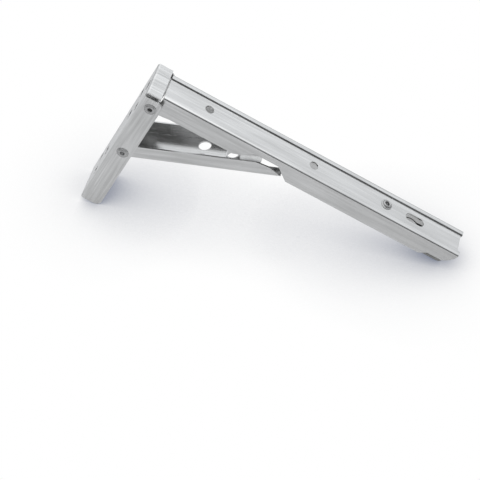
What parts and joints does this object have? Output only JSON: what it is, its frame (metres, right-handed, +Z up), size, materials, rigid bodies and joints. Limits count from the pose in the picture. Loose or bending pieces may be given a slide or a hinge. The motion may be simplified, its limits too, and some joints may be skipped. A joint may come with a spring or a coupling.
{
  "type": "folding shelf bracket",
  "caption": "Folding wall bracket in sheet steel: wall channel, hinged shelf arm, propping brace and sprung release lever.",
  "frame": {"origin": "on the wall face, in the middle of the four corner screw holes", "axes": "+X out from the wall along the shelf arm, +Y across the bracket, +Z up"},
  "size_m": [0.3, 0.0424, 0.1557],
  "materials": {
    "channel_steel": "satin stainless sheet",
    "lever_steel": "satin stainless sheet",
    "rivet_steel": "turned steel",
    "spring_steel": "spring wire"
  },
  "bodies": {
    "wall": {"wall_channel": "channel_steel", "arm_pivot_rivet": "rivet_steel", "arm_spacer_near": "rivet_steel", "arm_spacer_far": "rivet_steel", "arm_sleeve": "rivet_steel", "brace_rivet_near": "rivet_steel", "brace_rivet_far": "rivet_steel", "brace_washer_near": "rivet_steel", "brace_washer_far": "rivet_steel"},
    "arm": {"arm_channel": "channel_steel", "lever_stud": "rivet_steel", "lever_spring": "spring_steel"},
    "brace": {"brace_channel": "channel_steel"},
    "lever": {"release_lever": "lever_steel"}
  },
  "joints": [
    {"name": "arm_fold", "type": "hinge", "parent": "wall", "child": "arm", "pos_m": [0.0098, 0, 0.0647], "axis": [0, 1, 0], "range_deg": [0, 90]},
    {"name": "brace_fold", "type": "hinge", "parent": "wall", "child": "brace", "pos_m": [0.0101, 0, 0.0019], "axis": [0, 1, 0], "range_deg": [0, 120]},
    {"name": "lever_press", "type": "hinge", "parent": "arm", "child": "lever", "pos_m": [0.2386, 0, 0.07585], "axis": [0, -1, 0], "range_deg": [0, 4], "stiffness_Nm_per_rad": 1.2, "springref_deg": -3.44, "deforming": ["lever_spring"]}
  ],
  "couplings": [
    {"joint": "brace_fold", "follows": "arm_fold", "ratio": 1.3333}
  ]
}
